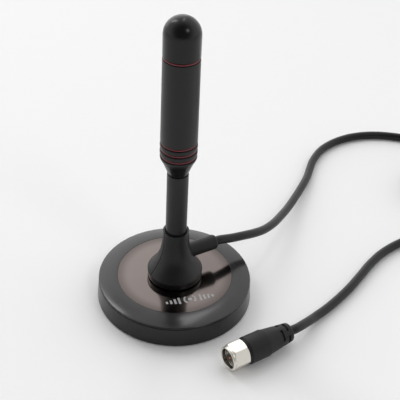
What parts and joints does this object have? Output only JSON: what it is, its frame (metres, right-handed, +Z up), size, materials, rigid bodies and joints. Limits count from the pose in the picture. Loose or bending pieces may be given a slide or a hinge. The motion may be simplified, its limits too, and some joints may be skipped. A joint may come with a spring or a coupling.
{
  "type": "indoor television antenna",
  "caption": "Compact indoor digital television antenna: fat radiator head on a short mast, round magnetic base, coax lead ending in a screw-on F plug.",
  "frame": {"origin": "middle of the rubber pad's underside, on the surface that the antenna stands on", "axes": "+Z up the mast; +X the way the lead leaves the pedestal; -Y the front"},
  "size_m": [0.2521, 0.1282, 0.1422],
  "materials": {
    "rubber": "matt black rubber",
    "dark_gloss": "glossy dark grey ABS",
    "face_disc": "glossy taupe lacquered disc",
    "black_gloss": "high-gloss black",
    "satin_charcoal": "satin charcoal",
    "red_trim": "dark red, semi-gloss",
    "black_pvc": "satin black PVC jacket",
    "nickel": "nickel plated brass",
    "steel": "zinc plated",
    "ferrite": "pressed ferrite",
    "copper": "bare copper",
    "brass": "plain brass",
    "insulator": "amber dielectric",
    "circuit_board": "green solder mask",
    "tie_band": "black hook-and-loop band"
  },
  "bodies": {
    "antenna": {"antenna_board": "circuit_board", "base_cover": "dark_gloss", "base_pad": "rubber", "base_tray": "dark_gloss", "cable_boot": "rubber", "centre_pin": "copper", "coax_coil": "black_pvc", "coax_lead": "black_pvc", "coax_tail": "black_pvc", "coil_tie": "tie_band", "connector_boot": "rubber", "connector_insulator": "insulator", "connector_post": "brass", "crimp_ring": "brass", "crimp_sleeve": "nickel", "dome_cap": "black_gloss", "face_plate": "face_disc", "head_core": "black_gloss", "head_sleeve": "satin_charcoal", "inner_wire": "copper", "lead_in_boot": "black_pvc", "lead_in_plug": "black_pvc", "magnet_ring": "ferrite", "mast_tube": "satin_charcoal", "matching_transformer": "ferrite", "pedestal_foot": "black_gloss", "pedestal_front_shell": "satin_charcoal", "pedestal_rear_shell": "satin_charcoal", "pedestal_screw_1": "steel", "pedestal_screw_2": "steel", "pedestal_screw_3": "steel", "pedestal_screw_4": "steel", "radiator_coil": "copper", "red_ring_1": "red_trim", "red_ring_2": "red_trim", "red_ring_3": "red_trim", "red_ring_4": "red_trim", "rib_collar_1": "satin_charcoal", "rib_collar_2": "satin_charcoal", "taper_collar": "satin_charcoal", "tray_screw_1": "steel", "tray_screw_2": "steel", "tray_screw_3": "steel", "yoke_plate": "steel"},
    "coupling_nut": {"coupling_nut": "nickel"}
  },
  "joints": [
    {"name": "nut_spin", "type": "hinge", "parent": "antenna", "child": "coupling_nut", "pos_m": [-0.0034, -0.0533, 0.0063], "axis": [0.9991, 0.0419, 0], "continuous": true}
  ]
}
